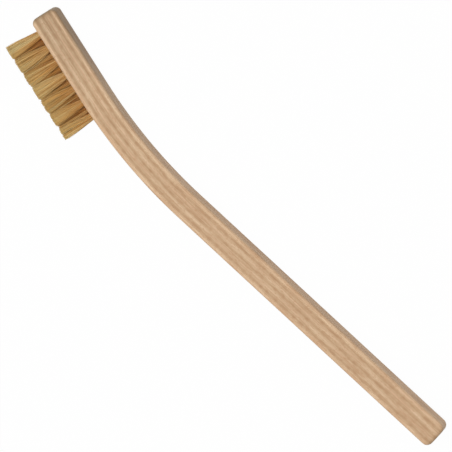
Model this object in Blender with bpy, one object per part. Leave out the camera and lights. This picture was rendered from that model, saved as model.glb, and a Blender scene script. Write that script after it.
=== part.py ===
"""Bench brush: a bent laminated wooden handle with three rows of staple-set hair tufts.

The brush lies on its side. +X runs along the head from the toe towards the grip, +Y is the
back of the handle and -Y the side that the bristles stand on, and +Z is across its width.
The origin is under the middle of the whole brush, on the surface that it lies on.

The handle is laid up from veneers whose grain runs along it and across it by turns. All of
them follow one bend. Each hole of the head holds a tuft of hair, folded over and held down
by a wire staple. The staple's crown crosses the fold, and its two legs are driven into the
wood under the hole.
"""

import math
import random
from collections import namedtuple

import bmesh
import bpy
from mathutils import Matrix, Vector

MM = 0.001

# Handle: the veneers, and the line of the handle's back from toe to butt
FACE_VENEER_THICKNESS = 1.45 * MM
VENEER_THICKNESS = 1.24 * MM
GLUE_LINE = 0.06 * MM
HANDLE_WIDTH = 11.1 * MM
HEAD_LENGTH = 32.8 * MM
BEND_RADIUS = 188.0 * MM
BEND_ANGLE = math.radians(15.0)
GRIP_LENGTH = 116.4 * MM
BEND_STEPS = 12

# Handle: rounding of the long edges, and of the four corners of its side view
EDGE_RADIUS = 0.85 * MM
EDGE_STEPS = 3
TOE_BELLY_RADIUS = 2.0 * MM
TOE_BACK_RADIUS = 2.1 * MM
BUTT_BELLY_RADIUS = 2.3 * MM
BUTT_BACK_RADIUS = 2.2 * MM
CORNER_STEPS = 5

# Veneers from the belly, where the bristles stand, to the back
VENEER_NAMES = (
    "belly_face_veneer",
    "belly_cross_veneer",
    "belly_core_veneer",
    "centre_cross_veneer",
    "back_core_veneer",
    "back_cross_veneer",
    "back_face_veneer",
)
INNER_VENEERS = len(VENEER_NAMES) - 2
FACE_PITCH = FACE_VENEER_THICKNESS + GLUE_LINE
VENEER_PITCH = VENEER_THICKNESS + GLUE_LINE
HANDLE_THICKNESS = FACE_PITCH + INNER_VENEERS * VENEER_PITCH + FACE_VENEER_THICKNESS
SAME_PLACE = GLUE_LINE / 5

# Holes: three rows, with the middle one a tuft shorter and set half a pitch along.
# They end in the first veneer that they don't go through.
OUTER_ROW_TUFTS = 7
TUFT_PITCH = 5.50 * MM
TOE_TO_FIRST_TUFT = 5.45 * MM
ROW_SPACING = 2.95 * MM
HOLE_RADIUS = 1.39 * MM
HOLE_SIDES = 10
VENEERS_DRILLED_THROUGH = 4
HOLE_FLOOR_IN_VENEER = 0.6 * MM
HOLE_DEPTH = FACE_PITCH + (VENEERS_DRILLED_THROUGH - 1) * VENEER_PITCH + HOLE_FLOOR_IN_VENEER
CUT_OVERRUN = 1.0 * MM

# Tufts: the folded root in the hole, and the strands that fan out of it. The trim is a
# little shorter at the grip's end of the rows than at the toe's.
TUFT_CLEARANCE = 0.06 * MM
FOLD_ROUNDING = 0.45 * MM
FOLD_STEPS = 1
TRIM_LENGTH = 12.45 * MM
TRIM_FALL = 0.3 * MM
TRIM_SCATTER = 0.5 * MM
STRANDS_IN_RINGS = (1, 6, 13)
RING_SHARES = (0.0, 0.50, 0.97)
STRAND_SIDES = 3
STRAND_ROOT_RADIUS = 0.21 * MM
STRAND_TIP_RADIUS = 0.38 * MM
STRAND_SINK = 0.6 * MM
TOE_END_SPREAD = 2.6 * MM
GRIP_END_SPREAD = 1.65 * MM
LARGEST_SPREAD = 2.75 * MM
SIDE_MARGIN = 0.4 * MM
TUFT_GAP = 0.3 * MM
SCATTER_SEED = 7

# Staples: flat-sided wire, with its points in the veneer after the hole's floor.
# The way through the hair is wide enough to open the tuft's flanks to the hole's wall.
WIRE_HALF_WIDTH = 0.18 * MM
WIRE_TO_WALL = 0.2 * MM
WIRE_IN_WOOD_CLEARANCE = 0.06 * MM
FLANK_OVERRUN = 0.04 * MM
WIRE_IN_HAIR_CLEARANCE = WIRE_TO_WALL - TUFT_CLEARANCE + FLANK_OVERRUN
CROWN_ABOVE_FLOOR = 1.2 * MM
STAPLE_BEND_RADIUS = 0.4 * MM
STAPLE_BEND_STEPS = 2
POINT_IN_VENEER = 0.8 * MM
LEG_REACH = HOLE_RADIUS - WIRE_TO_WALL - WIRE_HALF_WIDTH
CROWN_DEPTH = HOLE_DEPTH - CROWN_ABOVE_FLOOR
POINT_DEPTH = FACE_PITCH + VENEERS_DRILLED_THROUGH * VENEER_PITCH + POINT_IN_VENEER

Hole = namedtuple("Hole", "name run across")


def back_run(angle):
    """Distance along the back from the toe to the place where the bend has turned by angle."""
    return HEAD_LENGTH + BEND_RADIUS * angle


BACK_LENGTH = back_run(BEND_ANGLE) + GRIP_LENGTH


def place_on_handle(run, height):
    """Point and heading at a distance run along the back and a height above the belly.

    Both are taken in the plane of the bend. The bend's centre is beyond the back.
    """
    from_centre = BEND_RADIUS + HANDLE_THICKNESS - height
    turned = min(max((run - HEAD_LENGTH) / BEND_RADIUS, 0.0), BEND_ANGLE)
    straight = run - back_run(turned)
    x = HEAD_LENGTH + from_centre * math.sin(turned) + straight * math.cos(turned)
    y = (HANDLE_THICKNESS + BEND_RADIUS - from_centre * math.cos(turned)
         + straight * math.sin(turned))
    return Vector((x, y, 0.0)), turned


def brush_centre():
    """Middle of the brush's outline as it lies, worked out from the sizes above."""
    butt_corner = place_on_handle(BACK_LENGTH - BUTT_BELLY_RADIUS, BUTT_BELLY_RADIUS)[0]
    back_corner = place_on_handle(BACK_LENGTH - BUTT_BACK_RADIUS,
                                  HANDLE_THICKNESS - BUTT_BACK_RADIUS)[0]
    farthest_x = butt_corner.x + BUTT_BELLY_RADIUS
    farthest_y = back_corner.y + BUTT_BACK_RADIUS
    return Vector((farthest_x / 2, (farthest_y - TRIM_LENGTH) / 2, 0.0))


def hole_frame(hole):
    """Matrix of a hole's own axes: X along the head, Y into the wood, Z across."""
    mouth, turned = place_on_handle(hole.run, 0.0)
    across = Vector((0.0, 0.0, hole.across))
    return (Matrix.Translation(mouth + across - brush_centre())
            @ Matrix.Rotation(turned, 4, "Z"))


def head_holes():
    """All holes of the head, each with its distance along it and its place across it."""
    middle = HANDLE_WIDTH / 2
    holes = []
    for row, across in (("right", middle - ROW_SPACING), ("left", middle + ROW_SPACING)):
        for number in range(OUTER_ROW_TUFTS):
            run = TOE_TO_FIRST_TUFT + number * TUFT_PITCH
            holes.append(Hole(f"{row}_{number + 1}", run, across))
    for number in range(OUTER_ROW_TUFTS - 1):
        run = TOE_TO_FIRST_TUFT + (number + 0.5) * TUFT_PITCH
        holes.append(Hole(f"middle_{number + 1}", run, middle))
    return holes


def clear_scene():
    """Remove what the scene starts with."""
    for item in list(bpy.data.objects):
        bpy.data.objects.remove(item, do_unlink=True)


def new_collection(name):
    """Make a collection in the scene."""
    collection = bpy.data.collections.new(name)
    bpy.context.scene.collection.children.link(collection)
    return collection


def new_material(name, colour, roughness, metallic=0.0):
    """Make a plain material from a linear colour, a roughness and a metallic value."""
    material = bpy.data.materials.new(name)
    material.use_nodes = True
    shader = material.node_tree.nodes["Principled BSDF"]
    shader.inputs["Base Color"].default_value = (*colour, 1.0)
    shader.inputs["Roughness"].default_value = roughness
    shader.inputs["Metallic"].default_value = metallic
    material.diffuse_color = (*colour, 1.0)
    return material


def mesh_object(name, bm, collection, material=None):
    """Turn a bmesh into an object with outward faces, and free the bmesh."""
    bmesh.ops.recalc_face_normals(bm, faces=bm.faces)
    mesh = bpy.data.meshes.new(name)
    bm.to_mesh(mesh)
    bm.free()
    if material:
        mesh.materials.append(material)
    obj = bpy.data.objects.new(name, mesh)
    collection.objects.link(obj)
    return obj


def as_cutter(obj):
    """Mark an object as a tool for cutting or joining, which is no part of the brush."""
    obj.hide_render = True
    obj.display_type = "WIRE"
    return obj


def evaluated_mesh(obj):
    """New mesh of an object as its curve or its modifiers give it."""
    bpy.context.view_layer.update()
    graph = bpy.context.evaluated_depsgraph_get()
    return bpy.data.meshes.new_from_object(obj.evaluated_get(graph))


def add_boolean(obj, tool, operation):
    """Cut an object with a tool, or join the tool to it."""
    modifier = obj.modifiers.new(tool.name, "BOOLEAN")
    modifier.operation = operation
    modifier.solver = "EXACT"
    modifier.object = tool


def edges_where(bm, test):
    """Edges whose two ends both pass a test on their coordinates."""
    return [edge for edge in bm.edges if all(test(vert.co) for vert in edge.verts)]


def near(value, wanted):
    """Whether two coordinates are the same place."""
    return abs(value - wanted) < SAME_PLACE


def round_edges(bm, edges, radius, steps):
    """Round some edges of a bmesh."""
    bmesh.ops.bevel(bm, geom=edges, offset=radius, offset_type="OFFSET", segments=steps,
                    profile=0.5, affect="EDGES", clamp_overlap=True)


def handle_blank():
    """Straight blank of the handle, as long as its back, with all its edges rounded."""
    bm = bmesh.new()
    bmesh.ops.create_cube(bm, size=1.0)
    bmesh.ops.translate(bm, verts=bm.verts, vec=(0.5, 0.5, 0.5))
    bmesh.ops.scale(bm, verts=bm.verts, vec=(BACK_LENGTH, HANDLE_THICKNESS, HANDLE_WIDTH))
    corners = (
        (0.0, 0.0, TOE_BELLY_RADIUS),
        (0.0, HANDLE_THICKNESS, TOE_BACK_RADIUS),
        (BACK_LENGTH, 0.0, BUTT_BELLY_RADIUS),
        (BACK_LENGTH, HANDLE_THICKNESS, BUTT_BACK_RADIUS),
    )
    for x, y, radius in corners:
        corner = edges_where(bm, lambda co: near(co.x, x) and near(co.y, y))
        round_edges(bm, corner, radius, CORNER_STEPS)
    rims = [edge for side in (0.0, HANDLE_WIDTH)
            for edge in edges_where(bm, lambda co: near(co.z, side))]
    round_edges(bm, rims, EDGE_RADIUS, EDGE_STEPS)
    return bm


def slice_blank(bm, point, normal, **cleared):
    """Cut a bmesh by a plane, and close the cut where one side is cleared away."""
    geometry = bm.verts[:] + bm.edges[:] + bm.faces[:]
    bmesh.ops.bisect_plane(bm, geom=geometry, dist=SAME_PLACE / 10, plane_co=point,
                           plane_no=normal, **cleared)
    if cleared:
        rim = [edge for edge in bm.edges if edge.is_boundary]
        bmesh.ops.holes_fill(bm, edges=rim, sides=0)


def bend_blank(bm):
    """Give a straight blank its cross loops along the bend, and bend it."""
    for step in range(BEND_STEPS + 1):
        run = back_run(BEND_ANGLE * step / BEND_STEPS)
        slice_blank(bm, (run, 0.0, 0.0), (1.0, 0.0, 0.0))
    centre = brush_centre()
    for vert in bm.verts:
        across = vert.co.z
        vert.co = place_on_handle(vert.co.x, vert.co.y)[0] - centre
        vert.co.z = across


def veneer_sides(index):
    """Heights above the belly of a veneer's two sides. The two outer veneers are thicker."""
    if index == 0:
        return 0.0, FACE_VENEER_THICKNESS
    belly_side = FACE_PITCH + (index - 1) * VENEER_PITCH
    if index > INNER_VENEERS:
        return belly_side, HANDLE_THICKNESS
    return belly_side, belly_side + VENEER_THICKNESS


def make_veneer(index, collection, material):
    """One veneer: the layer of the rounded blank between its two glue lines, bent."""
    belly_side, back_side = veneer_sides(index)
    bm = handle_blank()
    if index > 0:
        slice_blank(bm, (0.0, belly_side, 0.0), (0.0, 1.0, 0.0), clear_inner=True)
    if index < len(VENEER_NAMES) - 1:
        slice_blank(bm, (0.0, back_side, 0.0), (0.0, 1.0, 0.0), clear_outer=True)
    bend_blank(bm)
    return mesh_object(VENEER_NAMES[index], bm, collection, material)


def staple_curve(name, clearance):
    """Staple, or its way, in a hole's own axes: legs along Y and a crown along X."""
    curve = bpy.data.curves.new(name, "CURVE")
    curve.dimensions = "3D"
    curve.bevel_depth = (WIRE_HALF_WIDTH + clearance) * math.sqrt(2.0)
    curve.bevel_resolution = 0
    curve.use_fill_caps = True
    point_depth = POINT_DEPTH + clearance
    points = [Vector((-LEG_REACH, point_depth, 0.0))]
    for side in (-1, 1):
        bend = []
        for step in range(STAPLE_BEND_STEPS + 1):
            angle = math.pi / 2 * step / STAPLE_BEND_STEPS
            x = LEG_REACH - STAPLE_BEND_RADIUS * (1.0 - math.cos(angle))
            y = CROWN_DEPTH + STAPLE_BEND_RADIUS * (1.0 - math.sin(angle))
            bend.append(Vector((side * x, y, 0.0)))
        points.extend(bend[::-side])
    points.append(Vector((LEG_REACH, point_depth, 0.0)))
    spline = curve.splines.new("POLY")
    spline.points.add(len(points) - 1)
    for slot, point in zip(spline.points, points):
        slot.co = (*point, 1.0)
        slot.tilt = math.pi / 4
    return curve


def staple_way(name, clearance, collection):
    """Solid a little thicker than the staple, which cuts the staple's way."""
    wire = bpy.data.objects.new(name, staple_curve(name, clearance))
    collection.objects.link(wire)
    bm = bmesh.new()
    bm.from_mesh(evaluated_mesh(wire))
    bpy.data.objects.remove(wire, do_unlink=True)
    bmesh.ops.remove_doubles(bm, verts=bm.verts, dist=SAME_PLACE / 10)
    return as_cutter(mesh_object(name, bm, collection))


def round_bar(bm, radius, start, end):
    """Add a closed bar along Y to a bmesh, between two depths, with corners at its +-X."""
    made = bmesh.ops.create_cone(bm, cap_ends=True, segments=HOLE_SIDES, radius1=radius,
                                 radius2=radius, depth=end - start)
    turn = Matrix.Rotation(math.pi / 2, 4, "X") @ Matrix.Rotation(math.pi / 2, 4, "Z")
    shift = Matrix.Translation((0.0, (start + end) / 2, 0.0))
    bmesh.ops.transform(bm, matrix=shift @ turn, verts=made["verts"])
    return made["verts"]


def drill(veneers, holes, collection):
    """Cut the tuft holes and the staple legs' ways in the veneers that they reach."""
    way = staple_way("way_in_wood", WIRE_IN_WOOD_CLEARANCE, collection)
    bars = bmesh.new()
    ways = bmesh.new()
    for hole in holes:
        frame = hole_frame(hole)
        bar = round_bar(bars, HOLE_RADIUS, -CUT_OVERRUN, HOLE_DEPTH)
        bmesh.ops.transform(bars, matrix=frame, verts=bar)
        before = len(ways.verts)
        ways.from_mesh(way.data)
        bmesh.ops.transform(ways, matrix=frame, verts=ways.verts[before:])
    hole_cutter = as_cutter(mesh_object("tuft_holes", bars, collection))
    way_cutter = as_cutter(mesh_object("staple_ways", ways, collection))
    for index, veneer in enumerate(veneers):
        if index <= VENEERS_DRILLED_THROUGH:
            add_boolean(veneer, hole_cutter, "DIFFERENCE")
        if VENEERS_DRILLED_THROUGH <= index <= VENEERS_DRILLED_THROUGH + 1:
            add_boolean(veneer, way_cutter, "DIFFERENCE")


def spread(hole, angle, holes):
    """How far a tuft's tips may fan out in a direction before they meet a neighbour's.

    The direction is an angle from +X towards +Z. Two tufts share the space between them,
    the rows' ends have spreads of their own, and the tips stay within the handle's width.
    """
    direction = Vector((math.cos(angle), math.sin(angle)))
    reach = LARGEST_SPREAD
    for other in holes:
        away = Vector((other.run - hole.run, other.across - hole.across))
        facing = away.dot(direction)
        if facing > 0.0:
            reach = min(reach, away.length * (away.length - TUFT_GAP) / 2 / facing)
    from_toe_end = hole.run - TOE_TO_FIRST_TUFT
    from_grip_end = (OUTER_ROW_TUFTS - 1) * TUFT_PITCH - from_toe_end
    limits = (
        (-direction.x, from_toe_end + TOE_END_SPREAD),
        (direction.x, from_grip_end + GRIP_END_SPREAD),
        (-direction.y, hole.across - SIDE_MARGIN),
        (direction.y, HANDLE_WIDTH - SIDE_MARGIN - hole.across),
    )
    for facing, room in limits:
        if facing > 0.0:
            reach = min(reach, room / facing)
    return reach


def add_strand(bm, root, tip, angle):
    """Add one strand from its place at the belly's face to its tip, sunk into the root."""
    heading = (tip - root).normalized()
    start = root - heading * STRAND_SINK
    made = bmesh.ops.create_cone(bm, cap_ends=True, segments=STRAND_SIDES,
                                 radius1=STRAND_ROOT_RADIUS, radius2=STRAND_TIP_RADIUS,
                                 depth=(tip - start).length)
    turn = heading.to_track_quat("Z", "Y").to_matrix().to_4x4()
    matrix = Matrix.Translation((start + tip) / 2) @ turn @ Matrix.Rotation(angle, 4, "Z")
    bmesh.ops.transform(bm, matrix=matrix, verts=made["verts"])


def tuft_strands(hole, holes, scatter):
    """All strands of one tuft: each keeps its own direction from the tuft's axis."""
    root_room = HOLE_RADIUS - TUFT_CLEARANCE - STRAND_ROOT_RADIUS
    along_rows = (hole.run - TOE_TO_FIRST_TUFT) / ((OUTER_ROW_TUFTS - 1) * TUFT_PITCH)
    longest = TRIM_LENGTH - TRIM_FALL * along_rows
    bm = bmesh.new()
    for count, share in zip(STRANDS_IN_RINGS, RING_SHARES):
        offset = scatter.uniform(0.0, math.tau)
        for number in range(count):
            angle = offset + math.tau * number / count
            tip_room = spread(hole, angle, holes) - STRAND_TIP_RADIUS
            trim = longest - TRIM_SCATTER * scatter.random()
            outward = Vector((math.cos(angle), 0.0, math.sin(angle)))
            root = outward * root_room * share
            tip = outward * tip_room * share - Vector((0.0, trim, 0.0))
            add_strand(bm, root, tip, -angle)
    return bm


def make_tuft(hole, holes, way, scatter, material, collection, tools):
    """One tuft: the folded root that fills its hole, with the strands fused to it."""
    bm = bmesh.new()
    depth = HOLE_DEPTH - TUFT_CLEARANCE
    round_bar(bm, HOLE_RADIUS - TUFT_CLEARANCE, 0.0, depth)
    round_edges(bm, edges_where(bm, lambda co: near(co.y, depth)), FOLD_ROUNDING, FOLD_STEPS)
    tuft = mesh_object(f"tuft_{hole.name}", bm, collection, material)
    strands = mesh_object(f"strands_{hole.name}", tuft_strands(hole, holes, scatter), tools)
    add_boolean(tuft, strands, "UNION")
    add_boolean(tuft, way, "DIFFERENCE")
    mesh = evaluated_mesh(tuft)
    tuft.modifiers.clear()
    tuft.data = mesh
    bpy.data.objects.remove(strands, do_unlink=True)
    tuft.matrix_world = hole_frame(hole)


def build_brush():
    """Build every piece of the brush."""
    clear_scene()
    brush = new_collection("bench_brush")
    tools = new_collection("cutters")
    long_grain = new_material("long_grain_veneer", (0.62, 0.44, 0.28), 0.62)
    cross_grain = new_material("cross_grain_veneer", (0.49, 0.33, 0.20), 0.72)
    hair = new_material("tan_hair", (0.46, 0.27, 0.09), 0.55)
    wire = new_material("staple_wire", (0.60, 0.60, 0.58), 0.30, 1.0)

    veneers = []
    for index in range(len(VENEER_NAMES)):
        material = cross_grain if index % 2 else long_grain
        veneers.append(make_veneer(index, brush, material))
    holes = head_holes()
    drill(veneers, holes, tools)

    staple = staple_curve("staple", 0.0)
    staple.materials.append(wire)
    way = staple_way("way_in_hair", WIRE_IN_HAIR_CLEARANCE, tools)
    scatter = random.Random(SCATTER_SEED)
    for hole in holes:
        make_tuft(hole, holes, way, scatter, hair, brush, tools)
        holder = bpy.data.objects.new(f"staple_{hole.name}", staple)
        holder.matrix_world = hole_frame(hole)
        brush.objects.link(holder)


build_brush()
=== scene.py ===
"""Looks of the bench brush: a bent handle of laminated beech and three rows of tan hair tufts.

The brush lies on its side on a pale floor. +X runs along the head from the toe to the grip,
+Y is the back of the handle, -Y the side of the bristles, and +Z is across its width. All
lengths are in metres. The sizes are those of the frame, which fixes every piece's place.
"""

import logging
import math
from dataclasses import dataclass, field, replace
from enum import Enum
from typing import Any, Iterable

import bmesh
import bpy
import numpy as np
from bmesh.types import BMEdge, BMesh
from bpy.types import Material, Mesh, Node, NodeSocket, NodeTree, Object
from mathutils import Matrix, Vector


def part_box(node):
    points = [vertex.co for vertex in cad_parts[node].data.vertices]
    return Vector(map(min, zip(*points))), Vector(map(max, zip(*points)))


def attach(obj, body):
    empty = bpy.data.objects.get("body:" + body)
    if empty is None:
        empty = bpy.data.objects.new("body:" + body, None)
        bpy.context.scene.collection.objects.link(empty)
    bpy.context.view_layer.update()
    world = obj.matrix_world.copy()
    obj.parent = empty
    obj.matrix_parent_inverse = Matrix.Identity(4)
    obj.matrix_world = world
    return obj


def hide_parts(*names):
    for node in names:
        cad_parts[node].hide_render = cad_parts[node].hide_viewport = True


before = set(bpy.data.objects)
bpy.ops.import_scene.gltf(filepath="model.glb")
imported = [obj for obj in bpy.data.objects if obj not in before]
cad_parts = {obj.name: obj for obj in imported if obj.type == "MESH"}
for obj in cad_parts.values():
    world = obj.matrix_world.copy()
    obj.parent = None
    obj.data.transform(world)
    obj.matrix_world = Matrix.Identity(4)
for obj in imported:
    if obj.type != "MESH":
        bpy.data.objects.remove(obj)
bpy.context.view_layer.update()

MM = 0.001
BODY = "root"
GRAIN_MAP = "grain"
SAWN = "sawn"
WORN = "worn"
STAIN_AND_SHADE = "stain_and_shade"
STRAND_TONE = "tone"
STRAND_PLACE = "along"
STRAND_MAP = "OFBake"
SAME_PLACE = 0.002 * MM
WHITE = (1.0, 1.0, 1.0, 1.0)

log = logging.getLogger("bench_brush")


class Grain(Enum):
    """Way that a veneer's fibres run."""

    ALONG = "long_grain_veneer"
    ACROSS = "cross_grain_veneer"


def linear(hex_colour: str) -> tuple[float, float, float, float]:
    """Turn an sRGB colour into the linear colour that shaders take.

    Args:
        hex_colour: Six hex digits, as in a paint list.

    Returns:
        Linear red, green and blue, and an alpha of 1.
    """
    shares = [int(hex_colour[start:start + 2], 16) / 255 for start in (0, 2, 4)]
    values = [s / 12.92 if s <= 0.04045 else ((s + 0.055) / 1.055) ** 2.4 for s in shares]
    return (*values, 1.0)


def add_node(tree: NodeTree, kind: str, inputs: dict[str | int, Any] | None = None,
             **settings: Any) -> Node:
    """Add a node with its settings and its links.

    Args:
        tree: Node tree that takes the node.
        kind: Type of the node, without the prefix that all shader nodes share.
        inputs: Value or output socket for each input, by the input's name or number.
        settings: The node's own properties.

    Returns:
        The new node.
    """
    node = tree.nodes.new("ShaderNode" + kind)
    for name, value in settings.items():
        setattr(node, name, value)
    for name, value in (inputs or {}).items():
        if isinstance(value, NodeSocket):
            tree.links.new(value, node.inputs[name])
        else:
            node.inputs[name].default_value = value
    return node


def new_material(name: str) -> tuple[Material, NodeTree, Node]:
    """Start a material.

    Args:
        name: The material's name.

    Returns:
        The material, its node tree and its Principled shader.
    """
    material = bpy.data.materials.new(name)
    material.use_nodes = True
    return material, material.node_tree, material.node_tree.nodes["Principled BSDF"]


def new_object(name: str, mesh: Mesh) -> Object:
    """Put a mesh into the scene.

    Args:
        name: Name of the new object.
        mesh: Its mesh, which holds its place.

    Returns:
        The object, at the origin.
    """
    obj = bpy.data.objects.new(name, mesh)
    bpy.context.scene.collection.objects.link(obj)
    return obj


def mesh_from(bm: BMesh, name: str) -> Mesh:
    """Turn a bmesh into a mesh, and free the bmesh.

    Args:
        bm: The bmesh, which is used up.
        name: Name of the new mesh.

    Returns:
        The new mesh.
    """
    mesh = bpy.data.meshes.new(name)
    bm.to_mesh(mesh)
    bm.free()
    return mesh


@dataclass(frozen=True)
class Figure:
    """One figure in the wood: its size, its noise and how much of it shows.

    The size is along the fibres, through the sheet and sideways. Finer layers of noise, each
    weaker by the layer weight, lie over the coarsest. The figure starts to show where the
    noise reaches faint, and shows up to its share at full.
    """

    along: float
    through: float
    sideways: float
    layers: float
    layer_weight: float
    wander: float
    faint: float
    full: float
    share: float = 1.0


@dataclass(frozen=True)
class BeechVeneer:
    """Rotary-cut European beech, bonded into plywood, moulded, then sanded and left bare.

    Peeling lays the growth layers flat in each sheet, so an edge shows them as soft broken
    streaks, while a face shows short brown ray flecks. Fibres that end on a surface leave
    open pores, which swallow light. All sizes are of the wood's own figure.
    """

    grain: Grain
    tone: str
    streaks: Figure
    streak_tone: str = "EAE4DC"
    patches: Figure = Figure(along=13.0 * MM, through=2.2 * MM, sideways=2.2 * MM, layers=1.0,
                             layer_weight=0.5, wander=0.25, faint=0.4, full=0.65)
    patch_tone: str = "F2EAE4"
    flecks: Figure = Figure(along=1.1 * MM, through=0.34 * MM, sideways=0.26 * MM, layers=1.0,
                            layer_weight=0.4, wander=0.0, faint=0.56, full=0.70, share=0.55)
    fleck_colour: str = "B58A62"
    joint_tone: str = "D0B490"
    joint_reach: float = 0.55 * MM
    joint_share: float = 0.85
    worn_tone: str = "CFAB89"
    worn_share: float = 0.3
    stain_and_shade_tone: str = "B4AEA2"
    sawn_tone: str = "9A8468"
    sawn_from: float = 0.15
    sawn_full: float = 0.8
    sawn_share: float = 0.7
    roughness: float = 0.6
    specular: float = 0.35
    relief: float = 0.03 * MM
    relief_share: float = 0.5

    def material(self, pitch: float, first: float, thickness: float) -> Material:
        """Make the veneer's material.

        Args:
            pitch: Distance from one joint to the next.
            first: Height of the first joint above the belly.
            thickness: Thickness of the handle.

        Returns:
            The material, which reads the grain map and the sawn, worn and stain-and-shade
            attributes.
        """
        material, tree, shader = new_material(self.grain.value)
        grain = add_node(tree, "Attribute", attribute_name=GRAIN_MAP).outputs["Vector"]
        worn, stain_and_shade, sawn = (add_node(tree, "Attribute", attribute_name=name).outputs["Fac"]
                               for name in (WORN, STAIN_AND_SHADE, SAWN))
        worn = add_node(tree, "Math", {0: worn, 1: self.worn_share}, operation="MULTIPLY")
        sawn = add_node(tree, "MapRange", {"Value": sawn, "From Min": self.sawn_from,
                                           "From Max": self.sawn_full,
                                           "To Max": self.sawn_share})
        streaks, patches, flecks = (self.figure(tree, grain, look)
                                    for look in (self.streaks, self.patches, self.flecks))
        joint = self.joint(tree, grain, pitch, first, thickness)
        wood = add_node(tree, "Mix", {0: joint, 6: linear(self.tone),
                                      7: linear(self.joint_tone)}, data_type="RGBA")
        for share, tone, way in ((worn.outputs[0], self.worn_tone, "MIX"),
                                 (streaks, self.streak_tone, "MULTIPLY"),
                                 (patches, self.patch_tone, "MULTIPLY"),
                                 (flecks, self.fleck_colour, "MIX"),
                                 # The next share darkens the wood: real tones, and painted
                                 # shade on the back near the toe.
                                 (stain_and_shade, self.stain_and_shade_tone, "MULTIPLY"),
                                 (sawn.outputs[0], self.sawn_tone, "MIX")):
            wood = add_node(tree, "Mix", {0: share, 6: wood.outputs[2], 7: linear(tone)},
                            data_type="RGBA", blend_type=way)
        tree.links.new(wood.outputs[2], shader.inputs["Base Color"])

        bump = add_node(tree, "Bump", {"Height": streaks, "Strength": self.relief_share,
                                       "Distance": self.relief})
        tree.links.new(bump.outputs[0], shader.inputs["Normal"])
        shader.inputs["Roughness"].default_value = self.roughness
        shader.inputs["Specular IOR Level"].default_value = self.specular
        return material

    def figure(self, tree: NodeTree, grain: NodeSocket, look: Figure) -> NodeSocket:
        """Add a figure of the wood, as a noise that is stretched along the fibres.

        Args:
            tree: The material's node tree.
            grain: The grain map, on the handle's length, thickness and width.
            look: The figure.

        Returns:
            How much of the figure shows, from 0 to its share.
        """
        scale = [1 / look.along, 1 / look.through, 1 / look.sideways]
        if self.grain is Grain.ACROSS:
            scale.reverse()
        place = add_node(tree, "Mapping", {"Vector": grain, "Scale": scale})
        noise = add_node(tree, "TexNoise", {"Vector": place.outputs[0], "Scale": 1.0,
                                            "Detail": look.layers,
                                            "Roughness": look.layer_weight,
                                            "Distortion": look.wander})
        shown = add_node(tree, "MapRange", {"Value": noise.outputs["Fac"],
                                            "From Min": look.faint, "From Max": look.full,
                                            "To Max": look.share})
        return shown.outputs[0]

    def joint(self, tree: NodeTree, grain: NodeSocket, pitch: float, first: float,
              thickness: float) -> NodeSocket:
        """Add how far the glue, which soaks into both sheets, evens their tones.

        Args:
            tree: The material's node tree.
            grain: The grain map.
            pitch: Distance from one joint to the next.
            first: Height of the first joint above the belly.
            thickness: Thickness of the handle.

        Returns:
            The share of the joint's tone, which is 0 at the two outer faces.
        """
        height = add_node(tree, "SeparateXYZ", {0: grain}).outputs["Y"]
        shifted = add_node(tree, "Math", {0: height, 1: first}, operation="SUBTRACT")
        distance = add_node(tree, "Math", {0: shifted.outputs[0], 1: pitch / 2},
                            operation="PINGPONG")
        share = add_node(tree, "MapRange", {"Value": distance.outputs[0],
                                            "From Max": self.joint_reach,
                                            "To Min": self.joint_share, "To Max": 0.0},
                         interpolation_type="SMOOTHSTEP")
        outside, within = first - pitch + self.joint_reach, first - self.joint_reach
        for start, stop in ((outside, within), (thickness - outside, thickness - within)):
            inside = add_node(tree, "MapRange", {"Value": height, "From Min": start,
                                                 "From Max": stop})
            share = add_node(tree, "Math", {0: share.outputs[0], 1: inside.outputs[0]},
                             operation="MULTIPLY")
        return share.outputs[0]


@dataclass(frozen=True)
class NaturalHair:
    """Bleached hog hair, washed, bundled and trimmed, with no coating.

    Each hair keeps a tone of its own between deep honey and straw. The scales of its skin
    break up the gloss, so a tuft looks matte with a faint silky edge. Painted shade darkens
    a hair towards its root, where the hairs crowd, and it turns dull straw at its cut tip.
    """

    name: str = "bristle_hair"
    deep: str = "B87222"
    honey: str = "DAA34E"
    straw: str = "F8E9AE"
    honey_place: float = 0.45
    root_shade: str = "EADCD2"
    shade_until: float = 0.35
    shade_gone: float = 0.8
    tip_tone: str = "D9BF80"
    tip_from: float = 0.55
    tip_share: float = 0.45
    roughness: float = 0.55
    sheen: float = 0.15

    def material(self) -> Material:
        """Make the hair's material.

        Returns:
            The material, which reads each strand's tone and place along it.
        """
        material, tree, shader = new_material(self.name)
        tone = add_node(tree, "Attribute", attribute_name=STRAND_TONE).outputs["Fac"]
        along = add_node(tree, "Attribute", attribute_name=STRAND_PLACE).outputs["Fac"]
        ramp = add_node(tree, "ValToRGB", {0: tone})
        stops = ramp.color_ramp.elements
        stops.new(self.honey_place)
        for stop, colour in zip(stops, (self.deep, self.honey, self.straw)):
            stop.color = linear(colour)
        # Painted shade: the colour darkens towards the root, where the hairs crowd.
        root = add_node(tree, "MapRange", {"Value": along, "From Min": self.shade_until,
                                           "From Max": self.shade_gone, "To Min": 1.0,
                                           "To Max": 0.0})
        colour = add_node(tree, "Mix", {0: root.outputs[0], 6: ramp.outputs[0],
                                        7: linear(self.root_shade)}, data_type="RGBA",
                          blend_type="MULTIPLY")
        tip = add_node(tree, "MapRange", {"Value": along, "From Min": self.tip_from,
                                          "To Max": self.tip_share})
        colour = add_node(tree, "Mix", {0: tip.outputs[0], 6: colour.outputs[2],
                                        7: linear(self.tip_tone)}, data_type="RGBA")
        tree.links.new(colour.outputs[2], shader.inputs["Base Color"])
        shader.inputs["Roughness"].default_value = self.roughness
        shader.inputs["Sheen Weight"].default_value = self.sheen
        shader.inputs["Sheen Tint"].default_value = linear(self.straw)
        return material


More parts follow.
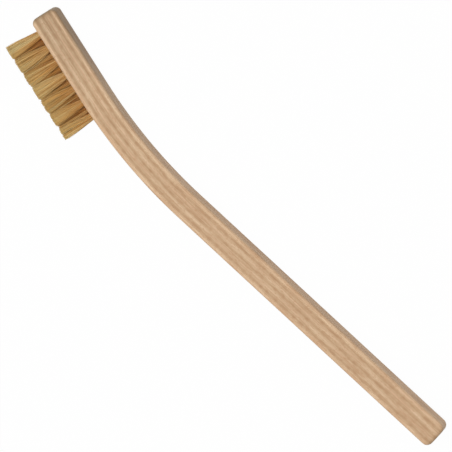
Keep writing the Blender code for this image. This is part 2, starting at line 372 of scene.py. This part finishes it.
@dataclass(frozen=True)
class SteelWire:
    """Bright low-carbon steel wire, drawn through a die and cut to staples.

    Drawing leaves fine marks on the wire, so it shines softly and not like a mirror. Real
    ones are lines a few microns apart. Here they are a speckle, coarser so that it shows.
    """

    name: str = "staple_wire"
    bright: str = "C9C8C3"
    dull: str = "A9A7A0"
    roughness: float = 0.32
    mark_size: float = 0.06 * MM
    mark_layers: float = 1.0

    def material(self) -> Material:
        """Make the wire's material.

        Returns:
            The material, whose marks lie on the object's own coordinates.
        """
        material, tree, shader = new_material(self.name)
        place = add_node(tree, "TexCoord").outputs["Object"]
        noise = add_node(tree, "TexNoise", {"Vector": place, "Scale": 1 / self.mark_size,
                                            "Detail": self.mark_layers})
        colour = add_node(tree, "Mix", {0: noise.outputs["Fac"], 6: linear(self.dull),
                                        7: linear(self.bright)}, data_type="RGBA")
        tree.links.new(colour.outputs[2], shader.inputs["Base Color"])
        shader.inputs["Metallic"].default_value = 1.0
        shader.inputs["Roughness"].default_value = self.roughness
        return material


@dataclass(frozen=True)
class Hole:
    """One tuft's hole in the head: its name, its place along the head and across it."""

    name: str
    run: float
    across: float


@dataclass
class HoleRows:
    """Three rows of holes, with the middle row a tuft shorter and half a pitch along.

    The field of the tips ends a little before the first holes and past the last ones, and
    inside the width. Where two tufts meet, their tips mingle over the overlap.
    """

    tufts: int = 7
    pitch: float = 5.50 * MM
    from_toe: float = 5.45 * MM
    row_spacing: float = 2.95 * MM
    radius: float = 1.39 * MM
    depth: float = 6.01 * MM
    width: float = 11.1 * MM
    toe_spread: float = 2.45 * MM
    grip_spread: float = 1.65 * MM
    largest_spread: float = 2.75 * MM
    side_margin: float = 0.4 * MM
    overlap: float = 0.75 * MM

    def holes(self) -> list[Hole]:
        """Place every hole.

        Returns:
            The holes, row by row.
        """
        middle = self.width / 2
        found = []
        for row, across in (("right", middle - self.row_spacing),
                            ("left", middle + self.row_spacing)):
            found += [Hole(f"{row}_{number + 1}", self.from_toe + number * self.pitch, across)
                      for number in range(self.tufts)]
        found += [Hole(f"middle_{number + 1}", self.from_toe + (number + 0.5) * self.pitch,
                       middle) for number in range(self.tufts - 1)]
        return found

    def room(self, hole: Hole, angle: float) -> float:
        """Give how far a tuft's tips fan out in one direction.

        Args:
            hole: The tuft's hole.
            angle: Direction in the plane of the tips, from +X towards +Z.

        Returns:
            Distance from the tuft's axis to the edge of its cell, which lies half the
            overlap past the middle between two tufts.
        """
        direction = Vector((math.cos(angle), math.sin(angle)))
        reach = self.largest_spread
        for other in self.holes():
            away = Vector((other.run - hole.run, other.across - hole.across))
            facing = away.dot(direction)
            if facing > 0.0:
                reach = min(reach, away.length * (away.length + self.overlap) / 2 / facing)
        from_first = hole.run - self.from_toe
        to_last = (self.tufts - 1) * self.pitch - from_first
        limits = (
            (-direction.x, from_first + self.toe_spread),
            (direction.x, to_last + self.grip_spread),
            (-direction.y, hole.across - self.side_margin),
            (direction.y, self.width - self.side_margin - hole.across),
        )
        for facing, space in limits:
            if facing > 0.0:
                reach = min(reach, space / facing)
        return reach


@dataclass
class Handle:
    """The handle: seven veneers with rounded edges that follow one bend."""

    rows: HoleRows
    veneer_nodes: tuple[str, ...] = (
        "belly_face_veneer",
        "belly_cross_veneer",
        "belly_core_veneer",
        "centre_cross_veneer",
        "back_core_veneer",
        "back_cross_veneer",
        "back_face_veneer",
    )
    veneer_pitch: float = 1.30 * MM
    glue_line: float = 0.06 * MM
    face_thickness: float = 1.45 * MM
    head_length: float = 32.8 * MM
    bend_radius: float = 188.0 * MM
    bend_angle: float = math.radians(15.0)
    grip_length: float = 116.4 * MM
    edge_radius: float = 1.15 * MM
    edge_steps: int = 7
    toe_belly_radius: float = 2.0 * MM
    toe_back_radius: float = 2.1 * MM
    butt_belly_radius: float = 2.3 * MM
    butt_back_radius: float = 2.2 * MM
    corner_steps: int = 9
    end_crown: float = 0.12 * MM
    bend_loops: int = 60
    hole_sides: int = 32
    overrun: float = 1.0 * MM
    drilled_veneers: int = 5
    leg_veneers: tuple[int, int] = (4, 5)
    leg_reach: float = 1.01 * MM
    leg_way: float = 0.24 * MM
    leg_depth: float = 7.57 * MM
    peel_shift: float = 43.0 * MM
    end_dark_depth: float = 2.5 * MM
    end_dark_share: float = 0.5
    butt_end_dark_share: float = 0.2
    end_dark_loops: int = 4
    head_share: float = 0.36
    head_face_share: float = 0.13
    back_shade_share: float = 1.12
    back_shade_fade: float = 1.5
    core_share: float = 0.14
    butt_sawn_share: float = 0.45
    sharp_angle: float = math.radians(38.0)
    thickness: float = field(init=False)
    origin: Vector = field(init=False)

    def __post_init__(self) -> None:
        """Work out the thickness, and read from the frame where the toe's belly corner is."""
        joints = len(self.veneer_nodes) - 1
        self.thickness = self.joint_height(joints - 1) + self.joint_height(0)
        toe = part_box(self.veneer_nodes[len(self.veneer_nodes) // 2])[0]
        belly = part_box(self.veneer_nodes[0])[0]
        self.origin = Vector((toe.x, belly.y, belly.z))

    def joint_height(self, number: int) -> float:
        """Give a joint's height above the belly. The two outer veneers are thicker."""
        return self.face_thickness + self.glue_line / 2 + number * self.veneer_pitch

    def back_run(self, angle: float) -> float:
        """Give the distance along the back where the bend has turned by an angle."""
        return self.head_length + self.bend_radius * angle

    def place(self, run: float, height: float) -> tuple[Vector, float]:
        """Give a point of the bent handle in the plane of the bend, and the heading there.

        Args:
            run: Distance along the back from the toe.
            height: Height above the belly.

        Returns:
            The point, and the angle that the bend has turned by.
        """
        from_centre = self.bend_radius + self.thickness - height
        turned = min(max((run - self.head_length) / self.bend_radius, 0.0), self.bend_angle)
        straight = run - self.back_run(turned)
        x = self.head_length + from_centre * math.sin(turned) + straight * math.cos(turned)
        y = (self.thickness + self.bend_radius - from_centre * math.cos(turned)
             + straight * math.sin(turned))
        return Vector((x, y, 0.0)) + self.origin, turned

    def hole_frame(self, hole: Hole) -> Matrix:
        """Give a hole's own axes: X along the head, Y into the wood, Z across."""
        mouth, turned = self.place(hole.run, 0.0)
        return (Matrix.Translation(mouth + Vector((0.0, 0.0, hole.across)))
                @ Matrix.Rotation(turned, 4, "Z"))

    def length(self) -> float:
        """Give the length of the straight blank."""
        return self.back_run(self.bend_angle) + self.grip_length

    def blank(self) -> BMesh:
        """Model the straight blank.

        Returns:
            The blank, with its four corners and all its rims rounded.
        """
        width = self.rows.width
        bm = bmesh.new()
        bmesh.ops.create_cube(bm, size=1.0)
        bmesh.ops.translate(bm, verts=bm.verts, vec=(0.5, 0.5, 0.5))
        bmesh.ops.scale(bm, verts=bm.verts, vec=(self.length(), self.thickness, width))
        corners = (
            (0.0, 0.0, self.toe_belly_radius),
            (0.0, self.thickness, self.toe_back_radius),
            (self.length(), 0.0, self.butt_belly_radius),
            (self.length(), self.thickness, self.butt_back_radius),
        )
        for x, y, radius in corners:
            corner = [edge for edge in bm.edges
                      if all(abs(v.co.x - x) < SAME_PLACE and abs(v.co.y - y) < SAME_PLACE
                             for v in edge.verts)]
            self.round(bm, corner, radius, self.corner_steps)
        rims = [edge for edge in bm.edges for side in (0.0, width)
                if all(abs(v.co.z - side) < SAME_PLACE for v in edge.verts)]
        self.round(bm, rims, self.edge_radius, self.edge_steps)
        return bm

    def round(self, bm: BMesh, edges: list[BMEdge], radius: float, steps: int) -> None:
        """Round some edges of a bmesh."""
        bmesh.ops.bevel(bm, geom=edges, offset=radius, offset_type="OFFSET", segments=steps,
                        profile=0.5, affect="EDGES", clamp_overlap=True, material=-1)

    def slice(self, bm: BMesh, place: tuple[float, float, float],
              normal: tuple[float, float, float], **cleared: bool) -> None:
        """Cut a bmesh by a plane.

        Args:
            bm: The bmesh.
            place: A point of the plane.
            normal: The plane's normal.
            cleared: Which side is cleared away, if any. The cut is then closed.
        """
        geometry = bm.verts[:] + bm.edges[:] + bm.faces[:]
        bmesh.ops.bisect_plane(bm, geom=geometry, dist=SAME_PLACE, plane_co=place,
                               plane_no=normal, **cleared)
        if cleared:
            rim = [edge for edge in bm.edges if edge.is_boundary]
            bmesh.ops.holes_fill(bm, edges=rim, sides=0)

    def drill(self) -> Object:
        """Model what drills the straight blank.

        Returns:
            Object of every tuft's hole.
        """
        bm = bmesh.new()
        depth = self.rows.depth + self.overrun
        for hole in self.rows.holes():
            made = bmesh.ops.create_cone(bm, cap_ends=True, segments=self.hole_sides,
                                         radius1=self.rows.radius, radius2=self.rows.radius,
                                         depth=depth)
            middle = Vector((hole.run, self.rows.depth - depth / 2, hole.across))
            bmesh.ops.transform(bm, matrix=Matrix.Translation(middle)
                                @ Matrix.Rotation(math.pi / 2, 4, "X"), verts=made["verts"])
        return new_object("drill", mesh_from(bm, "drill"))

    def punch(self) -> Object:
        """Model what opens the ways of the staples' legs in the wood under the holes.

        Returns:
            Object of both ways under every hole.
        """
        bm = bmesh.new()
        start = self.rows.depth - self.overrun
        for hole in self.rows.holes():
            for side in (-1.0, 1.0):
                made = bmesh.ops.create_cube(bm, size=1.0)
                middle = Vector((hole.run + side * self.leg_reach,
                                 (start + self.leg_depth) / 2, hole.across))
                size = Vector((2 * self.leg_way, self.leg_depth - start, 2 * self.leg_way))
                bmesh.ops.transform(bm, matrix=Matrix.LocRotScale(middle, None, size),
                                    verts=made["verts"])
        return new_object("punch", mesh_from(bm, "punch"))

    def cut(self, bm: BMesh, tools: Iterable[Object]) -> BMesh:
        """Cut a bmesh with tools.

        Args:
            bm: The bmesh, which is used up.
            tools: Objects of the shapes to take away.

        Returns:
            The bmesh that is left.
        """
        blank = new_object("cut_blank", mesh_from(bm, "cut_blank"))
        for tool in tools:
            modifier = blank.modifiers.new(tool.name, "BOOLEAN")
            modifier.operation = "DIFFERENCE"
            modifier.solver = "EXACT"
            modifier.object = tool
        graph = bpy.context.evaluated_depsgraph_get()
        left = bmesh.new()
        left.from_object(blank, graph)
        bpy.data.objects.remove(blank, do_unlink=True)
        return left

    def crown_ends(self, bm: BMesh) -> None:
        """Ease a straight veneer's two ends back towards the belly and the back.

        Args:
            bm: The straight veneer.
        """
        length = self.length()
        for vert in bm.verts:
            off_middle = abs(2 * vert.co.y / self.thickness - 1.0)
            eased = self.end_crown * off_middle ** 2
            toe_share = max(0.0, 1.0 - vert.co.x / self.toe_back_radius)
            butt_share = max(0.0, 1.0 - (length - vert.co.x) / self.butt_belly_radius)
            vert.co.x += eased * (toe_share - butt_share)

    def bend(self, bm: BMesh, index: int) -> None:
        """Give a straight veneer its loops, write its grain and bend it into its place.

        Args:
            bm: The straight veneer.
            index: The veneer's number from the belly.
        """
        loops = [self.back_run(self.bend_angle * loop / self.bend_loops)
                 for loop in range(self.bend_loops + 1)]
        end_dark = [self.end_dark_depth * (loop + 1) / self.end_dark_loops
                  for loop in range(self.end_dark_loops)]
        for run in loops + end_dark + [self.length() - depth for depth in end_dark]:
            self.slice(bm, (run, 0.0, 0.0), (1.0, 0.0, 0.0))
        many_sided = [face for face in bm.faces if len(face.verts) > 4]
        bmesh.ops.triangulate(bm, faces=many_sided)
        self.write_grain(bm, index)
        for vert in bm.verts:
            across = vert.co.z
            vert.co = self.place(vert.co.x, vert.co.y)[0]
            vert.co.z += across

    def write_grain(self, bm: BMesh, index: int) -> None:
        """Keep on a straight veneer where each point lies in the wood, how it has aged and
        where it is darker.

        The grain map shifts from veneer to veneer, because each comes from another place of
        the log. The sawn attribute says how squarely a face is cut across the handle, and is
        weaker at the butt. The worn one rises through the bend to the grip, where handling has
        evened the tones. The third one darkens the wood: near the two ends, most at the toe's;
        along the head towards the toe, more between the face veneers; a little in the inner
        long-grain veneers; and, as painted shade, on the back near the toe.
        mainly between the face veneers, and in the inner long-grain veneers.

        Args:
            bm: The straight veneer.
            index: The veneer's number from the belly.
        """
        grain_map = bm.verts.layers.float_vector.new(GRAIN_MAP)
        worn = bm.verts.layers.float.new(WORN)
        stain_and_shade = bm.verts.layers.float.new(STAIN_AND_SHADE)
        sawn = bm.faces.layers.float.new(SAWN)
        shift = Vector((index * self.peel_shift, 0.0, index * self.peel_shift))
        is_face = index in (0, len(self.veneer_nodes) - 1)
        core = 0.0 if is_face or index % 2 else self.core_share
        head_share = self.head_face_share if is_face else self.head_share
        bend_end = self.back_run(self.bend_angle)
        for vert in bm.verts:
            vert[grain_map] = vert.co + shift
            in_bend = (vert.co.x - self.head_length) / (bend_end - self.head_length)
            vert[worn] = min(max(in_bend, 0.0), 1.0)
            # Darker along the head towards the toe, more in the inner veneers.
            head = head_share * max(0.0, 1.0 - vert.co.x / self.head_length)
            from_butt = self.length() - vert.co.x
            # Darker near the two ends, most at the toe.
            end_dark = (self.end_dark_share * max(0.0, 1.0 - vert.co.x / self.end_dark_depth) ** 2
                      + self.butt_end_dark_share * max(0.0, 1.0 - from_butt / self.end_dark_depth))
            # Painted shade: the back darkens towards the toe and fades along the handle.
            from_back = self.thickness - vert.co.y
            faces_back = max(0.0, 1.0 - from_back / self.edge_radius)
            near_toe = max(0.0, 1.0 - vert.co.x / bend_end) ** self.back_shade_fade
            vert[stain_and_shade] = core + head + end_dark + self.back_shade_share * faces_back * near_toe
        bm.normal_update()
        for face in bm.faces:
            at_toe = face.calc_center_median().x < self.head_length
            face[sawn] = abs(face.normal.x) * (1.0 if at_toe else self.butt_sawn_share)

    def veneer(self, index: int, material: Material, drill: Object, punch: Object) -> Object:
        """Model one veneer: the layer of the rounded blank between two glue lines, bent.

        Args:
            index: The veneer's number from the belly.
            material: Its finish.
            drill: Shape of the tuft holes.
            punch: Shape of the ways of the staples' legs.

        Returns:
            The veneer, in its place.
        """
        bm = self.blank()
        if index > 0:
            belly_side = self.joint_height(index - 1)
            self.slice(bm, (0.0, belly_side, 0.0), (0.0, 1.0, 0.0), clear_inner=True)
        if index < len(self.veneer_nodes) - 1:
            back_side = self.joint_height(index)
            self.slice(bm, (0.0, back_side, 0.0), (0.0, 1.0, 0.0), clear_outer=True)
        bmesh.ops.recalc_face_normals(bm, faces=bm.faces)
        tools = [drill] if index < self.drilled_veneers else []
        tools += [punch] if index in self.leg_veneers else []
        if tools:
            bm = self.cut(bm, tools)
        self.crown_ends(bm)
        self.bend(bm, index)
        name = f"beech_{self.veneer_nodes[index]}"
        mesh = mesh_from(bm, name)
        mesh.shade_smooth()
        mesh.set_sharp_from_angle(angle=self.sharp_angle)
        mesh.materials.append(material)
        piece = new_object(name, mesh)
        normals = piece.modifiers.new("even_light", "WEIGHTED_NORMAL")
        normals.keep_sharp = True
        return piece

    def build(self, finishes: dict[Grain, BeechVeneer]) -> list[Object]:
        """Model and finish all veneers.

        Args:
            finishes: The finish for each way that the fibres may run.

        Returns:
            The veneers, from the belly to the back.
        """
        first = self.joint_height(0)
        materials = {grain: finish.material(self.veneer_pitch, first, self.thickness)
                     for grain, finish in finishes.items()}
        drill, punch = self.drill(), self.punch()
        pieces = []
        for index, node in enumerate(self.veneer_nodes):
            grain = Grain.ACROSS if index % 2 else Grain.ALONG
            piece = self.veneer(index, materials[grain], drill, punch)
            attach(piece, BODY)
            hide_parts(node)
            pieces.append(piece)
        for tool in (drill, punch):
            bpy.data.objects.remove(tool, do_unlink=True)
        return pieces


@dataclass
class Bristles:
    """The tufts: bundles of single hairs, each folded under its staple's crown.

    A bundle's hairs fill the hole, leave it side by side and fan out over the tuft's cell
    among the trimmed tips, which overlaps its neighbours'. They cling together in locks,
    which gives the field its streaks.
    """

    handle: Handle
    strands: int = 320
    locks: int = 14
    strand_root_radius: float = 0.062 * MM
    strand_tip_radius: float = 0.074 * MM
    strand_sides: int = 3
    strand_cuts: int = 8
    strip_share: float = 0.4
    cap_share: float = 0.02
    trim_length: float = 12.45 * MM
    trim_fall: float = 0.3 * MM
    trim_scatter: float = 0.1 * MM
    lock_scatter: float = 0.08 * MM
    dome: float = 0.05 * MM
    tip_scatter: float = 0.13 * MM
    lock_reach_share: float = 0.96
    lock_pull_share: float = 0.22
    least_bow: float = 1.15
    most_bow: float = 2.0
    outer_tone: float = 0.55
    shaded_middle_tone: float = 0.3
    lock_tone_scatter: float = 0.17
    hair_tone_scatter: float = 0.18
    directions: int = 181
    crown_depth: float = 4.81 * MM
    crown_room: float = 0.27 * MM
    fold_depth: float = 5.11 * MM
    fold_reach: float = 0.7 * MM
    fold_share: float = 0.3
    hole_clearance: float = 0.06 * MM
    seed: int = 11
    places_in_hole: tuple[float, ...] = (0.0, 0.12, 0.30)
    bundle: Mesh = field(init=False)
    template: np.ndarray = field(init=False)

    def __post_init__(self) -> None:
        """Model the straight bundle that every tuft starts from."""
        self.bundle = self.straight_bundle()
        places = np.empty(len(self.bundle.vertices) * 3)
        self.bundle.vertices.foreach_get("co", places)
        self.template = places.reshape(self.strands, -1, 3)

    def straight_bundle(self) -> Mesh:
        """Model one straight strand of unit length and radius, and copy it.

        Returns:
            Mesh of all strands, one after another, at the same place, each with its own
            strip of the strand map.
        """
        bm = bmesh.new()
        bmesh.ops.create_cone(bm, cap_ends=True, segments=self.strand_sides, radius1=1.0,
                              radius2=1.0, depth=1.0)
        bmesh.ops.translate(bm, verts=bm.verts, vec=(0.0, 0.0, 0.5))
        long_edges = [edge for edge in bm.edges
                      if abs(edge.verts[0].co.z - edge.verts[1].co.z) > 0.5]
        bmesh.ops.subdivide_edges(bm, edges=long_edges, cuts=self.strand_cuts,
                                  use_grid_fill=True)
        bmesh.ops.recalc_face_normals(bm, faces=bm.faces)
        strip = bm.loops.layers.uv.new(STRAND_MAP)
        for face in bm.faces:
            heights = [v.co.z for v in face.verts]
            is_cap = max(heights) - min(heights) < SAME_PLACE
            for loop in face.loops:
                co = loop.vert.co
                side = 0.5 + self.strip_share * co.x
                inset = self.cap_share * (1.0 + co.y) * (0.5 - co.z) * 2 if is_cap else 0.0
                loop[strip].uv = (side, co.z + inset)
        counts = len(bm.verts), len(bm.edges), len(bm.faces)
        made = 1
        while made < self.strands:
            more = min(made, self.strands - made)
            geometry = (bm.verts[:more * counts[0]] + bm.edges[:more * counts[1]]
                        + bm.faces[:more * counts[2]])
            bmesh.ops.duplicate(bm, geom=geometry)
            made += more
        mesh = mesh_from(bm, "straight_bundle")
        corners = np.empty(len(mesh.loops) * 2)
        mesh.uv_layers[STRAND_MAP].data.foreach_get("uv", corners)
        corners = corners.reshape(self.strands, -1, 2)
        corners[:, :, 0] += np.arange(self.strands)[:, None]
        corners[:, :, 0] /= self.strands
        mesh.uv_layers[STRAND_MAP].data.foreach_set("uv", corners.ravel())
        return mesh

    def tuft(self, hole: Hole, rng: np.random.Generator, material: Material) -> Object:
        """Model one tuft from the straight bundle.

        Args:
            hole: The hole that it stands in.
            rng: Source of the hairs' small differences.
            material: Its finish.

        Returns:
            The tuft, in its place.
        """
        count = self.strands
        number = np.arange(count)
        share = np.sqrt((number + 0.5) / count)
        # Turned by the golden angle each, the strands lie evenly over the round hole.
        angle = number * math.pi * (3.0 - math.sqrt(5.0)) + rng.uniform(0.0, math.tau)
        outward = np.stack([np.cos(angle), np.sin(angle)], 1)
        radius = self.handle.rows.radius - self.hole_clearance - self.strand_root_radius
        root = outward * (share * radius)[:, None]
        tip_angle, room = self.spread(hole, angle)
        tip = np.stack([np.cos(tip_angle), np.sin(tip_angle)], 1)
        tip *= (share * (room - self.strand_tip_radius))[:, None]

        centres = rng.choice(count, self.locks, replace=False)
        nearest = np.argmin(((tip[:, None] - tip[centres][None]) ** 2).sum(2), 1)
        lock_tip = tip[centres][nearest] * self.lock_reach_share
        pulled = tip + (lock_tip - tip) * self.lock_pull_share
        pulled += rng.normal(0.0, self.tip_scatter, (count, 2))
        bow = rng.uniform(self.least_bow, self.most_bow, self.locks)[nearest]

        lock_trim = rng.uniform(0.0, self.lock_scatter, self.locks)[nearest]
        rows = self.handle.rows
        along_rows = (hole.run - rows.from_toe) / ((rows.tufts - 1) * rows.pitch)
        trim = (self.trim_length - self.trim_fall * along_rows - lock_trim
                - self.dome * share ** 2
                - np.abs(rng.normal(0.0, self.trim_scatter, count)))

        steps = self.template[:, :, 2]
        path = self.path(steps, root, pulled, bow, trim, share)
        width = self.strand_root_radius + (self.strand_tip_radius
                                           - self.strand_root_radius) * steps
        turn = rng.uniform(0.0, math.tau, count)[:, None]
        across_x, across_z = self.template[:, :, 0], self.template[:, :, 1]
        path[:, :, 0] += width * (across_x * np.cos(turn) - across_z * np.sin(turn))
        path[:, :, 2] -= width * (across_x * np.sin(turn) + across_z * np.cos(turn))

        # The middle row takes a darker tone: painted shade, where the outer rows shadow it.
        middle_tone = self.shaded_middle_tone if hole.name.startswith("middle") else self.outer_tone
        lock_tone = rng.normal(middle_tone, self.lock_tone_scatter, self.locks)[nearest]
        tone = lock_tone + rng.normal(0.0, self.hair_tone_scatter, count)

        name = f"hair_{hole.name}"
        mesh = self.bundle.copy()
        mesh.name = name
        mesh.vertices.foreach_set("co", path.ravel())
        mesh.transform(self.handle.hole_frame(hole))
        tone = np.repeat(np.clip(tone, 0.0, 1.0), steps.shape[1])
        for layer, values in ((STRAND_TONE, tone), (STRAND_PLACE, steps.ravel())):
            attribute = mesh.attributes.new(layer, "FLOAT", "POINT")
            attribute.data.foreach_set("value", values)
        mesh.shade_smooth()
        mesh.materials.append(material)
        mesh.update()
        return new_object(name, mesh)

    def spread(self, hole: Hole, angle: np.ndarray) -> tuple[np.ndarray, np.ndarray]:
        """Turn the strands' directions so that their tips fill the tuft's cell evenly.

        Args:
            hole: The tuft's hole.
            angle: Direction of each strand in the hole, from +X towards +Z.

        Returns:
            Direction of each tip from the tuft's axis, and how far the cell reaches there.
        """
        around = np.linspace(0.0, math.tau, self.directions)
        reach = np.array([self.handle.rows.room(hole, a) for a in around])
        area = np.concatenate([[0.0], np.cumsum((reach[1:] ** 2 + reach[:-1] ** 2) / 2)])
        turned = np.interp(np.mod(angle, math.tau) / math.tau, area / area[-1], around)
        return turned, np.interp(turned, around, reach)

    def path(self, steps: np.ndarray, root: np.ndarray, tip: np.ndarray, bow: np.ndarray,
             trim: np.ndarray, share: np.ndarray) -> np.ndarray:
        """Lay each strand from its fold under the crown, out of the hole and to its tip.

        Args:
            steps: Place along its strand of each point of the bundle, from 0 to 1.
            root: Where each strand lies in the hole, along the head and across it.
            tip: Where each strand ends, taken the same way.
            bow: How soon each strand leans outwards.
            trim: Height of each tip above the mouth.
            share: Distance of each strand from the tuft's axis, from 0 to 1.

        Returns:
            Every point's place in the hole's own axes.
        """
        fold, crown, mouth = self.places_in_hole
        side = np.where(root[:, 1] < 0.0, -1.0, 1.0)
        beside = side * np.maximum(np.abs(root[:, 1]), self.crown_room)
        under = side * self.crown_room * self.fold_share
        deepest = self.fold_depth + self.fold_reach * share
        keys = np.array([fold, crown, mouth])
        depths = np.stack([deepest, np.full_like(share, self.crown_depth),
                           np.zeros_like(share)], 1)
        sideways = np.stack([under, beside, root[:, 1]], 1)
        places = np.empty((*steps.shape, 3))
        for strand in range(len(steps)):
            free = np.clip((steps[strand] - mouth) / (1.0 - mouth), 0.0, 1.0)
            lean = 1.0 - (1.0 - free) ** bow[strand]
            along = root[strand, 0] + (tip[strand, 0] - root[strand, 0]) * lean
            across = (np.interp(steps[strand], keys, sideways[strand])
                      + (tip[strand, 1] - root[strand, 1]) * lean)
            depth = np.interp(steps[strand], keys, depths[strand]) - trim[strand] * free
            places[strand] = np.stack([along, depth, across], 1)
        return places

    def build(self, finish: NaturalHair) -> list[Object]:
        """Model and finish all tufts.

        Args:
            finish: The hair's finish.

        Returns:
            The tufts, row by row.
        """
        material = finish.material()
        rng = np.random.default_rng(self.seed)
        pieces = []
        for hole in self.handle.rows.holes():
            piece = self.tuft(hole, rng, material)
            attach(piece, BODY)
            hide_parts(f"tuft_{hole.name}")
            pieces.append(piece)
        bpy.data.meshes.remove(self.bundle)
        return pieces


@dataclass
class Staples:
    """The staples, which are the frame's own pieces and only get their finish here."""

    rows: HoleRows

    def dress(self, finish: SteelWire) -> list[Object]:
        """Give every staple its finish.

        Args:
            finish: The wire's finish.

        Returns:
            The staples, row by row.
        """
        material = finish.material()
        pieces = [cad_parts[f"staple_{hole.name}"] for hole in self.rows.holes()]
        for piece in pieces:
            for slot in piece.material_slots:
                slot.material = material
        return pieces


@dataclass
class Studio:
    """A pale floor just under the brush, a white sky, a soft lamp and the camera.

    The lamp hangs above the brush, a little towards its toe and the bristles' side.
    """

    floor_size: float = 20.0
    floor_drop: float = 0.05 * MM
    floor_tone: str = "DCDCDA"
    floor_roughness: float = 0.9
    plain_share: float = 0.98
    sky_strength: float = 0.42
    key_power: float = 17.4
    key_size: float = 1.2
    key_place: tuple[float, float, float] = (-0.2, -0.2, 1.55)
    lens: float = 800.0
    sensor: float = 36.0
    camera_distance: float = 3449.0 * MM
    camera_lean: float = math.radians(10.3)
    camera_drift: float = math.radians(-1.5)
    camera_roll: float = math.radians(57.77)
    camera_aim: tuple[float, float, float] = (-2.70 * MM, 1.84 * MM, 5.55 * MM)

    def seen_white(self, tree: NodeTree) -> NodeSocket:
        """Add what tells the rays that see the background, straight or by reflection.

        Args:
            tree: Node tree of the background's material.

        Returns:
            A value that is 1 for those rays and 0 for the others.
        """
        path = add_node(tree, "LightPath")
        seen = path.outputs["Is Camera Ray"]
        for name in ("Is Glossy Ray", "Is Transmission Ray"):
            seen = add_node(tree, "Math", {0: seen, 1: path.outputs[name]},
                            operation="MAXIMUM").outputs[0]
        return seen

    def build_floor(self) -> None:
        """Lay the floor: matt white board that looks plain white and keeps soft shadows."""
        bm = bmesh.new()
        bmesh.ops.create_grid(bm, x_segments=1, y_segments=1, size=self.floor_size / 2)
        bmesh.ops.translate(bm, verts=bm.verts, vec=(0.0, 0.0, -self.floor_drop))
        floor = new_object("floor", mesh_from(bm, "floor"))
        material, tree, shader = new_material("white_board")
        shader.inputs["Base Color"].default_value = linear(self.floor_tone)
        shader.inputs["Roughness"].default_value = self.floor_roughness
        shader.inputs["Specular IOR Level"].default_value = 0.0
        glow = add_node(tree, "Emission", {"Color": WHITE, "Strength": 1.0})
        share = add_node(tree, "Math", {0: self.seen_white(tree), 1: self.plain_share},
                         operation="MULTIPLY")
        mixed = add_node(tree, "MixShader", {0: share.outputs[0], 1: shader.outputs[0],
                                             2: glow.outputs[0]})
        tree.links.new(mixed.outputs[0], tree.nodes["Material Output"].inputs["Surface"])
        floor.data.materials.append(material)

    def build_sky(self) -> None:
        """Surround the brush with even white light, seen as plain white."""
        world = bpy.data.worlds.new("even_sky")
        world.use_nodes = True
        tree = world.node_tree
        background = tree.nodes["Background"]
        background.inputs["Color"].default_value = WHITE
        strength = add_node(tree, "MapRange", {"Value": self.seen_white(tree),
                                               "To Min": self.sky_strength})
        tree.links.new(strength.outputs[0], background.inputs["Strength"])
        bpy.context.scene.world = world

    def build_lamp(self) -> None:
        """Hang the large soft lamp, aimed at the brush."""
        lamp = bpy.data.lights.new("soft_key", "AREA")
        lamp.shape = "DISK"
        lamp.size = self.key_size
        lamp.energy = self.key_power
        holder = bpy.data.objects.new("soft_key", lamp)
        holder.location = self.key_place
        holder.rotation_euler = (-Vector(self.key_place)).to_track_quat("-Z", "Y").to_euler()
        holder.visible_camera = False
        bpy.context.scene.collection.objects.link(holder)

    def build_camera(self) -> None:
        """Set up the camera: above the brush, leaning a little over its back."""
        camera = bpy.data.cameras.new("camera")
        camera.lens = self.lens
        camera.sensor_width = self.sensor
        holder = bpy.data.objects.new("camera", camera)
        towards = Vector((math.sin(self.camera_drift), math.sin(self.camera_lean), 0.0))
        towards.z = math.sqrt(1.0 - towards.length_squared)
        up = Vector((0.0, 1.0, 0.0))
        up = (up - towards * up.dot(towards)).normalized()
        right = up.cross(towards)
        turned_right = right * math.cos(self.camera_roll) + up * math.sin(self.camera_roll)
        turned_up = up * math.cos(self.camera_roll) - right * math.sin(self.camera_roll)
        turn = Matrix((turned_right, turned_up, towards)).transposed().to_4x4()
        place = Vector(self.camera_aim) + towards * self.camera_distance
        holder.matrix_world = Matrix.Translation(place) @ turn
        bpy.context.scene.collection.objects.link(holder)
        bpy.context.scene.camera = holder

    def build(self) -> None:
        """Set up the whole studio."""
        bpy.context.scene.view_settings.view_transform = "Standard"
        self.build_floor()
        self.build_sky()
        self.build_lamp()
        self.build_camera()


def report(kind: str, pieces: Iterable[Object]) -> None:
    """Log each piece with its size.

    Args:
        kind: What the pieces are.
        pieces: Their objects.
    """
    for piece in pieces:
        size = ", ".join(f"{length / MM:.1f}" for length in piece.dimensions)
        log.info("%s %s: %s mm, %d faces", kind, piece.name, size, len(piece.data.polygons))


def main() -> None:
    """Build the studio and every piece of the brush."""
    logging.basicConfig(level=logging.INFO, format="%(name)s: %(message)s")
    Studio().build()
    rows = HoleRows()
    handle = Handle(rows)
    streaks = Figure(along=7.0 * MM, through=0.34 * MM, sideways=1.3 * MM, layers=3.0,
                     layer_weight=0.6, wander=0.1, faint=0.35, full=0.65)
    broad_streaks = replace(streaks, along=9.0 * MM, sideways=4.5 * MM)
    finishes = {
        Grain.ALONG: BeechVeneer(Grain.ALONG, tone="E5C6A4", streaks=streaks),
        Grain.ACROSS: BeechVeneer(Grain.ACROSS, tone="BB9A76", streaks=broad_streaks),
    }
    report("veneer", handle.build(finishes))
    report("staple", Staples(rows).dress(SteelWire()))
    report("tuft", Bristles(handle).build(NaturalHair()))


if __name__ == "__main__":
    main()
